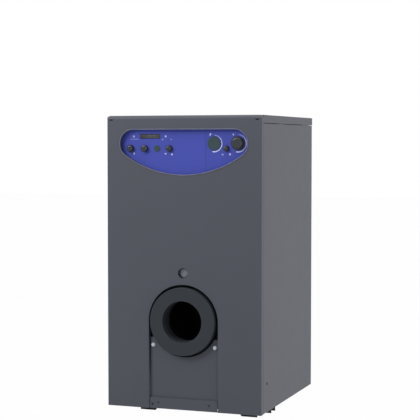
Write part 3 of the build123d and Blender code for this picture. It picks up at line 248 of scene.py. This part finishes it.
def foil_face(name, colour):
    """Creased aluminium foil over mineral wool."""
    material, nodes, links, shader = new_material(name)
    vector = place_node(nodes, links, (1, 1, 1))
    crease = nodes.new("ShaderNodeTexVoronoi")
    crease.feature = "DISTANCE_TO_EDGE"
    crease.inputs["Scale"].default_value = 38.0
    links.new(vector, crease.inputs["Vector"])
    wrinkle = noise(nodes, links, vector, 60.0, 6.0)
    total = nodes.new("ShaderNodeMath")
    total.operation = "ADD"
    links.new(crease.outputs["Distance"], total.inputs[0])
    links.new(wrinkle, total.inputs[1])
    tint = tinted(nodes, links, wrinkle, shade(colour, 0.85), shade(colour, 1.1))
    links.new(tint, shader.inputs["Base Color"])
    links.new(spread(nodes, links, wrinkle, 0.25, 0.45), shader.inputs["Roughness"])
    shader.inputs["Metallic"].default_value = 0.85
    add_bump(nodes, links, shader, total.outputs["Value"], 0.5, 0.0015)
    return material


def clear(name, colour, rough, transmission):
    material, nodes, links, shader = new_material(name)
    vector = place_node(nodes, links, (1, 1, 1))
    smear = noise(nodes, links, vector, 120.0, 5.0)
    links.new(spread(nodes, links, smear, rough, rough + 0.06), shader.inputs["Roughness"])
    shader.inputs["Base Color"].default_value = (*colour, 1)
    shader.inputs["Transmission Weight"].default_value = transmission
    shader.inputs["IOR"].default_value = 1.45
    return material


LOOKS = {
    "casing_paint": surface("powder_coat", (0.082, 0.0885, 0.108), 0.44, vary=0.025,
                            grain=750.0, bump=0.07, rough_vary=0.012, specular=0.2),
    "door_paint": surface("stove_paint", (0.029, 0.034, 0.041), 0.55, grain=380.0, bump=0.3,
                          specular=0.2),
    "bezel_plastic": surface("bezel_satin", (0.05, 0.05, 0.06), 0.34, coat=0.2),
    "fascia_blue": surface("fascia_satin", (0.046, 0.066, 0.4), 0.5, vary=0.04, bump=0.06,
                           specular=0.35),
    "knob_black": surface("knob_gloss", (0.013, 0.018, 0.022), 0.17, coat=0.25, bump=0.02,
                          rough_vary=0.02, specular=0.4),
    "plug_grey": surface("plug_matt", (0.04, 0.068, 0.072), 0.6, grain=1200.0, specular=0.2),
    "gauge_case": surface("gauge_matt", (0.012, 0.013, 0.016), 0.42, specular=0.25),
    "gauge_scale": surface("gauge_face", (0.05, 0.048, 0.05), 0.6),
    "pointer_red": surface("pointer_gloss", (0.3, 0.035, 0.03), 0.35),
    "gauge_glass": clear("gauge_clear", (0.86, 0.88, 0.9), 0.03, 1.0),
    "screw_white": surface("screw_pale", (0.58, 0.6, 0.65), 0.4, bump=0.1),
    "zinc_steel": surface("zinc_plate", (0.5, 0.5, 0.49), 0.34, metallic=0.9,
                          stretch=(1, 1, 12), grain=400.0),
    "galvanised": spangled("spangle", (0.3, 0.315, 0.325)),
    "base_black": surface("base_matt", (0.036, 0.04, 0.041), 0.55, bump=0.2, specular=0.2),
    "cast_iron": cast("cast_grey", (0.045, 0.043, 0.041)),
    "fibre_board": woven("fibre_face", (0.5, 0.47, 0.41), 60.0),
    "glass_rope": woven("rope_face", (0.5, 0.48, 0.43), 260.0),
    "sight_glass": clear("sight_grey", (0.25, 0.27, 0.31), 0.12, 0.25),
    "pipe_steel": surface("pipe_black", (0.05, 0.052, 0.055), 0.45, metallic=0.5,
                          stretch=(1, 0.1, 1), grain=500.0),
    "brass": surface("brass_cut", (0.6, 0.42, 0.17), 0.28, metallic=1.0, stretch=(1, 10, 1)),
    "copper": surface("copper_drawn", (0.6, 0.28, 0.15), 0.3, metallic=1.0),
    "lever_black": surface("lever_matt", (0.02, 0.02, 0.022), 0.5),
    "nylon": surface("nylon_pale", (0.55, 0.55, 0.51), 0.5),
    "terminal_grey": surface("terminal_matt", (0.35, 0.36, 0.37), 0.5),
    "instrument_case": surface("instrument_matt", (0.05, 0.05, 0.054), 0.5, grain=1100.0),
    "foil": foil_face("foil_creased", (0.62, 0.63, 0.65)),
}


def dress_frame():
    """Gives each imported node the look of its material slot."""
    for part in frame["record"]["subparts"]:
        node = frame["nodes"][part["node"]]
        look = LOOKS[part["material_slot"]]
        if node.material_slots:
            for material_slot in node.material_slots:
                material_slot.material = look
        else:
            node.data.materials.append(look)


# Mesh building blocks


def piece(name, mesh_data, slot, body="boiler", look=None):
    obj = bpy.data.objects.new(name, mesh_data)
    bpy.context.scene.collection.objects.link(obj)
    obj.data.materials.append(look or LOOKS[slot])
    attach(obj, body)
    return obj


def mesh_from(name, points, faces, smooth=False):
    mesh_data = bpy.data.meshes.new(name)
    mesh_data.from_pydata(points, [], faces)
    if smooth:
        mesh_data.polygons.foreach_set("use_smooth", [True] * len(faces))
    mesh_data.update()
    return mesh_data


def printed(name, outlines, front, slot="screw_white", look=None):
    """Flat marks in X and Z that lie on a face looking to the front."""
    points = []
    faces = []
    for outline in outlines:
        start = len(points)
        count = len(outline)
        for y in (front - INK_THICK, front - INK_GAP):
            points.extend((x, y, z) for x, z in outline)
        faces.append(tuple(start + i for i in range(count)))
        faces.append(tuple(start + count + i for i in reversed(range(count))))
        for i in range(count):
            j = (i + 1) % count
            faces.append((start + j, start + i, start + count + i, start + count + j))
    data = mesh_from(name, points, faces)
    build = bmesh.new()
    build.from_mesh(data)
    bmesh.ops.recalc_face_normals(build, faces=build.faces)
    build.to_mesh(data)
    build.free()
    return piece(name, data, slot, look=look)


def bar(x, z, length, width, angle=0.0):
    """A straight stroke centred on a point; angle in degrees from level."""
    along = Vector((cos(radians(angle)), sin(radians(angle)))) * length / 2
    across = Vector((-along.y, along.x)).normalized() * width / 2
    corners = (-along - across, along - across, along + across, -along + across)
    return [(x + corner.x, z + corner.y) for corner in corners]


def disc(x, z, radius, count=20):
    turns = [2 * pi * i / count for i in range(count)]
    return [(x + radius * cos(t), z + radius * sin(t)) for t in turns]


def wedge_arc(x, z, radius, start, end, thin, thick, steps=36):
    """An arc that grows from thin to thick; angles clockwise from the top."""
    outer = []
    inner = []
    for step in range(steps + 1):
        share = step / steps
        turn = radians(start + (end - start) * share)
        half = (thin + (thick - thin) * share) / 2
        outer.append((x + (radius + half) * sin(turn), z + (radius + half) * cos(turn)))
        inner.append((x + (radius - half) * sin(turn), z + (radius - half) * cos(turn)))
    return [outer[i:i + 2] + inner[i:i + 2][::-1] for i in range(steps)]


def asterisk(x, z, size, strokes=3, width=0.0011):
    return [bar(x, z, size, width, 180 * i / strokes + 15) for i in range(strokes)]


def ring(x, z, radius, width=0.0011):
    return wedge_arc(x, z, radius, 0, 360, width, width, 24)


# Printed marks of the fascia


def fascia_marks():
    """Generic symbols and rising-temperature arcs."""
    ink = surface("print_pale", (0.62, 0.66, 0.95), 0.5)
    left = asterisk(-0.1517, 0.7922, 0.0066)
    left.append(bar(-0.1496, 0.7843, 0.0244, 0.0006))
    left += [disc(-0.1508, 0.7452, 0.0019), bar(-0.1508, 0.7426, 0.0046, 0.0011)]
    left += asterisk(-0.0558, 0.792, 0.0066, 4)
    left += ring(-0.0646, 0.7833, 0.0016, 0.0006)
    left.append(bar(-0.0396, 0.7833, 0.004, 0.0009))
    left += [bar(-0.056, 0.7446, 0.006, 0.0016), bar(-0.056, 0.7422, 0.0036, 0.0012)]
    left += [disc(-0.037, 0.7423, 0.0026)]
    printed("fascia_marks_left", left, FASCIA, look=ink)
    right = [bar(0.076, 0.7972, 0.0072, 0.0028, 62)]
    right += wedge_arc(*LARGE_PLUG, LARGE_PLUG_ARC, *ARC_SHAPE)
    right += wedge_arc(*THERMOSTAT, THERMOSTAT_ARC, *ARC_SHAPE)
    right += [bar(0.1426, 0.7966, 0.0056, 0.0024, 125), disc(0.1492, 0.8015, 0.0008, 10)]
    right += [disc(0.1115, 0.742, 0.0023), bar(0.1115, 0.742, 0.006, 0.001)]
    right += ring(0.1327, 0.7428, 0.0021, 0.0016)
    printed("fascia_marks_right", right, FASCIA, look=ink)


def gauge_marks():
    """A plain scale of ticks, and a paler pinkish patch in the middle of the scale under the
    window that is a painted reflection.
    """
    low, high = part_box("thermometer_scale")
    ticks = []
    margin = 0.006
    pitch = (high[0] - low[0] - 2 * margin) / (TICKS - 1)
    for index in range(TICKS):
        x = low[0] + margin + pitch * index
        length = 0.0026 if index % 3 == 0 else 0.0014
        ticks.append(bar(x, low[2] + 0.0012 + length / 2, length, 0.0003, 90))
    printed("gauge_ticks", ticks, low[1], "nylon")
    middle_x = (low[0] + high[0]) / 2
    # Painted reflection: a paler pinkish bar across the middle of the scale stands in for light
    # reflected in the window.
    reflection_look = surface("gauge_painted_reflection", (0.19, 0.15, 0.15), 0.6)
    reflection_bar = [bar(middle_x, high[2] - 0.0026, 0.024, 0.0026)]
    printed("gauge_reflection_patch", reflection_bar, low[1], "gauge_scale", reflection_look)


def cutout_loop(grow, spacing):
    """Even points round the control cut-out as (x, z, nx, nz), anticlockwise from its right."""
    arc_z = CUT_TOP + CUT_ARC - CUT_HEIGHT
    end_x = CUT_HALF - CUT_END
    end_z = CUT_TOP - CUT_END
    meet = -Vector((end_x, arc_z - end_z)).angle_signed(Vector((1, 0)))
    low = -abs(meet)
    runs = [
        ("arc", (end_x, end_z), CUT_END + grow, low, pi / 2),
        ("line", (end_x, CUT_TOP + grow), (-end_x, CUT_TOP + grow), (0, 1)),
        ("arc", (-end_x, end_z), CUT_END + grow, pi / 2, pi - low),
        ("arc", (0, arc_z), CUT_ARC + grow, pi - low, 2 * pi + low),
    ]
    points = []
    for run in runs:
        points.extend(run_points(run, spacing))
    return points


def bezel_bead():
    """A half-round bead along the bezel's lip, in a paler copy of the bezel plastic that is a
    painted highlight of the lip's lit edge.
    """
    loop = cutout_loop(BEAD_RADIUS, 0.003)
    points = []
    for x, z, nx, nz in loop:
        for index in range(BEAD_SIDES + 1):
            turn = pi * index / BEAD_SIDES
            out = BEAD_RADIUS * cos(turn)
            y = BEZEL_FACE - BEAD_RADIUS * sin(turn)
            points.append((x + nx * out, y, z + nz * out))
    width = BEAD_SIDES + 1
    faces = []
    for step in range(len(loop)):
        here = step * width
        after = ((step + 1) % len(loop)) * width
        for index in range(width):
            turn = (index + 1) % width
            faces.append((here + index, here + turn, after + turn, after + index))
    data = mesh_from("bezel_bead", points, faces, smooth=True)
    # Painted highlight: the bead is paler than the bezel so that it shows as the lit edge of
    # the lip.
    highlight_look = surface("bead_painted_highlight", (0.17, 0.18, 0.26), 0.26, coat=0.3)
    piece("bezel_bead", data, "bezel_plastic", "front_panel", highlight_look)


# Soft parts of the heating body


def body_loop(grow, rise, spacing):
    """Even points round the heating body's outline, from the foot, as (x, z, nx, nz)."""
    half = BODY[0] + grow
    top = BODY[1] + rise + grow
    shoulder = BODY[2] + rise + grow
    corner_x = half - shoulder
    corner_z = top - shoulder
    runs = []
    runs.append(("arc", (0, BURNER), half, -pi / 2, 0))
    runs.append(("line", (half, BURNER), (half, corner_z), (1, 0)))
    runs.append(("arc", (corner_x, corner_z), shoulder, 0, pi / 2))
    runs.append(("line", (corner_x, top), (-corner_x, top), (0, 1)))
    runs.append(("arc", (-corner_x, corner_z), shoulder, pi / 2, pi))
    runs.append(("line", (-half, corner_z), (-half, BURNER), (-1, 0)))
    runs.append(("arc", (0, BURNER), half, pi, 3 * pi / 2))
    points = []
    for run in runs:
        points.extend(run_points(run, spacing))
    return points


def run_points(run, spacing):
    if run[0] == "arc":
        _, (x, z), radius, start, end = run
        count = max(4, round(radius * (end - start) / spacing))
        turns = [start + (end - start) * i / count for i in range(count)]
        return [(x + radius * cos(t), z + radius * sin(t), cos(t), sin(t)) for t in turns]
    _, (x0, z0), (x1, z1), (nx, nz) = run
    length = Vector((x1 - x0, z1 - z0)).length
    count = max(2, round(length / spacing))
    shares = [i / count for i in range(count)]
    return [(x0 + (x1 - x0) * s, z0 + (z1 - z0) * s, nx, nz) for s in shares]


def jacket_loop(spacing):
    """The jacket's outer line, from its right foot over the top to its left foot."""
    loop = body_loop(JACKET_CLEAR + JACKET, HEADER_RISE, spacing)
    return [point for point in loop if point[1] >= JACKET_LOW]


def insulation_jacket():
    """Wool under creased foil, pinched along two lines, open below."""
    spacing = 0.008
    loop = jacket_loop(spacing)
    columns = 44
    points = []
    for inset in (0.0, JACKET - JACKET_LINER_GAP):
        for x, z, nx, nz in loop:
            for column in range(columns + 1):
                share = column / columns
                y = BODY_FRONT + (BODY_REAR - BODY_FRONT) * share
                pinch = PINCH_DEPTH * (1 - abs(sin(BAYS * pi * share))) if inset == 0.0 else 0.0
                points.append((x - nx * (inset + pinch), y, z - nz * (inset + pinch)))
    width = columns + 1
    layer = len(loop) * width
    faces = []
    for row in range(len(loop) - 1):
        for column in range(columns):
            corner = row * width + column
            quad = (corner, corner + 1, corner + width + 1, corner + width)
            middle = sum((Vector(points[i]) for i in quad), Vector()) / 4
            aside = Vector((middle.x, middle.y - POCKET_Y)).length
            if middle.z < BODY[1] or aside >= POCKET_RADIUS:
                faces.append(quad)
                faces.append(tuple(layer + i for i in reversed(quad)))
    data = mesh_from("insulation_jacket", points, faces, smooth=True)
    build = bmesh.new()
    build.from_mesh(data)
    close_rim(build, layer)
    bmesh.ops.recalc_face_normals(build, faces=build.faces)
    build.to_mesh(data)
    build.free()
    jacket = piece("insulation_jacket", data, "foil")
    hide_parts("body_insulation")


def close_rim(build, layer):
    """Joins the outer and the inner face wherever they end."""
    build.verts.ensure_lookup_table()
    rims = [edge for edge in build.edges if len(edge.link_faces) == 1]
    outer = [edge for edge in rims if edge.verts[0].index < layer]
    for edge in outer:
        a, b = (vert.index for vert in edge.verts)
        corners = (a, b, b + layer, a + layer)
        build.faces.new([build.verts[i] for i in corners])


def jacket_straps():
    """Thin steel bands round the jacket."""
    points = []
    faces = []
    section = [
        (-STRAP_SINK, -STRAP_HALF),
        (STRAP_PROUD, -STRAP_HALF),
        (STRAP_PROUD, STRAP_HALF),
        (-STRAP_SINK, STRAP_HALF),
    ]
    for y in STRAP_PLACES:
        loop = jacket_loop(0.006)
        start = len(points)
        for x, z, nx, nz in loop:
            for out, along in section:
                points.append((x + nx * out, y + along, z + nz * out))
        for row in range(len(loop) - 1):
            base = start + row * 4
            for side in range(4):
                turn = (side + 1) % 4
                faces.append((base + side, base + turn, base + 4 + turn, base + 4 + side))
        last = start + (len(loop) - 1) * 4
        faces.append((start, start + 1, start + 2, start + 3))
        faces.append((last + 3, last + 2, last + 1, last))
    data = mesh_from("jacket_straps", points, faces)
    piece("jacket_straps", data, "zinc_steel")


def gasket_rope():
    """A three-strand rope in the door's groove."""
    loop = body_loop(-GASKET_INSET, 0.0, 0.0035)
    middle_y = (DOOR_BACK - GASKET_GROOVE + BODY_FRONT) / 2
    points = []
    for step, (x, z, nx, nz) in enumerate(loop):
        for index in range(ROPE_SIDES):
            turn = 2 * pi * index / ROPE_SIDES
            bulge = ROPE_RADIUS * (0.9 + 0.1 * cos(3 * turn + step * 0.7))
            out = bulge * cos(turn)
            points.append((x + nx * out, middle_y + bulge * sin(turn), z + nz * out))
    faces = []
    total = len(loop)
    for step in range(total):
        here = step * ROPE_SIDES
        after = ((step + 1) % total) * ROPE_SIDES
        for index in range(ROPE_SIDES):
            turn = (index + 1) % ROPE_SIDES
            faces.append((here + index, here + turn, after + turn, after + index))
    data = mesh_from("gasket_rope", points, faces, smooth=True)
    rope = piece("gasket_rope", data, "glass_rope")
    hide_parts("door_gasket")


# Stage, light and camera


def seen_rays(nodes, links):
    """One for what the camera sees directly, in a reflection or through glass."""
    path = nodes.new("ShaderNodeLightPath")
    total = path.outputs["Is Camera Ray"]
    for ray in ("Is Glossy Ray", "Is Transmission Ray"):
        node = nodes.new("ShaderNodeMath")
        node.operation = "MAXIMUM"
        links.new(total, node.inputs[0])
        links.new(path.outputs[ray], node.inputs[1])
        total = node.outputs["Value"]
    return total


def stage_material(name, glow):
    """White to the camera and in reflections, yet it keeps soft shadows."""
    material, nodes, links, shader = new_material(name)
    shader.inputs["Base Color"].default_value = (0.55, 0.55, 0.55, 1)
    shader.inputs["Roughness"].default_value = 1.0
    shader.inputs["Specular IOR Level"].default_value = 0.0
    light = nodes.new("ShaderNodeEmission")
    light.inputs["Color"].default_value = (1, 1, 1, 1)
    light.inputs["Strength"].default_value = 1.0
    seen = nodes.new("ShaderNodeMath")
    seen.operation = "MULTIPLY"
    seen.inputs[1].default_value = glow
    links.new(seen_rays(nodes, links), seen.inputs[0])
    mix = nodes.new("ShaderNodeMixShader")
    links.new(seen.outputs["Value"], mix.inputs["Fac"])
    links.new(shader.outputs["BSDF"], mix.inputs[1])
    links.new(light.outputs["Emission"], mix.inputs[2])
    links.new(mix.outputs["Shader"], nodes["Material Output"].inputs["Surface"])
    return material


def floor():
    bpy.ops.mesh.primitive_plane_add(size=30, location=(0, 0, 0))
    plane = bpy.context.object
    plane.name = "stage_floor"
    plane.data.materials.append(stage_material("stage_white", FLOOR_GLOW))


def world():
    scene_world = bpy.data.worlds.new("studio")
    bpy.context.scene.world = scene_world
    scene_world.use_nodes = True
    nodes = scene_world.node_tree.nodes
    links = scene_world.node_tree.links
    ambient = nodes["Background"]
    ambient.inputs["Color"].default_value = (0.94, 0.96, 1.0, 1)
    ambient.inputs["Strength"].default_value = 0.27
    white = nodes.new("ShaderNodeBackground")
    white.inputs["Color"].default_value = (1, 1, 1, 1)
    white.inputs["Strength"].default_value = 1.0
    mix = nodes.new("ShaderNodeMixShader")
    links.new(seen_rays(nodes, links), mix.inputs["Fac"])
    links.new(ambient.outputs["Background"], mix.inputs[1])
    links.new(white.outputs["Background"], mix.inputs[2])
    links.new(mix.outputs["Shader"], nodes["World Output"].inputs["Surface"])


def softbox(name, place, target, size, power, colour=(1, 1, 1)):
    lamp = bpy.data.lights.new(name, "AREA")
    lamp.shape = "RECTANGLE"
    lamp.size, lamp.size_y = size
    lamp.energy = power
    lamp.color = colour
    obj = bpy.data.objects.new(name, lamp)
    obj.location = place
    aim = Vector(target) - Vector(place)
    obj.rotation_euler = aim.to_track_quat("-Z", "Y").to_euler()
    bpy.context.scene.collection.objects.link(obj)


def lights():
    middle = (0, 0, 0.5)
    softbox("key", (-1.6, -2.3, 2.3), middle, (1.7, 1.7), 44)
    softbox("glint", (-1.9, -2.6, 2.0), (0, -0.27, 0.76), (0.5, 0.5), 13)
    softbox("side_fill", (3.2, -0.3, 0.9), middle, (2.0, 1.6), 40, (1.0, 0.93, 0.93))
    softbox("low_fill", (2.4, -2.6, 0.35), (0, -0.25, 0.28), (0.6, 0.6), 9)
    softbox("overhead", (0.0, -0.5, 3.0), middle, (2.0, 2.0), 32)


def camera():
    data = bpy.data.cameras.new("photo_camera")
    data.sensor_width = 36.0
    data.lens = 112.75
    obj = bpy.data.objects.new("photo_camera", data)
    obj.location = (1.2979, -3.6622, 0.7694)
    obj.rotation_euler = (radians(90 - 2.848), 0, radians(19.781))
    bpy.context.scene.collection.objects.link(obj)
    bpy.context.scene.camera = obj


bpy.context.scene.view_settings.view_transform = "Standard"
camera()
world()
lights()
floor()
dress_frame()
fascia_marks()
gauge_marks()
bezel_bead()
insulation_jacket()
jacket_straps()
gasket_rope()
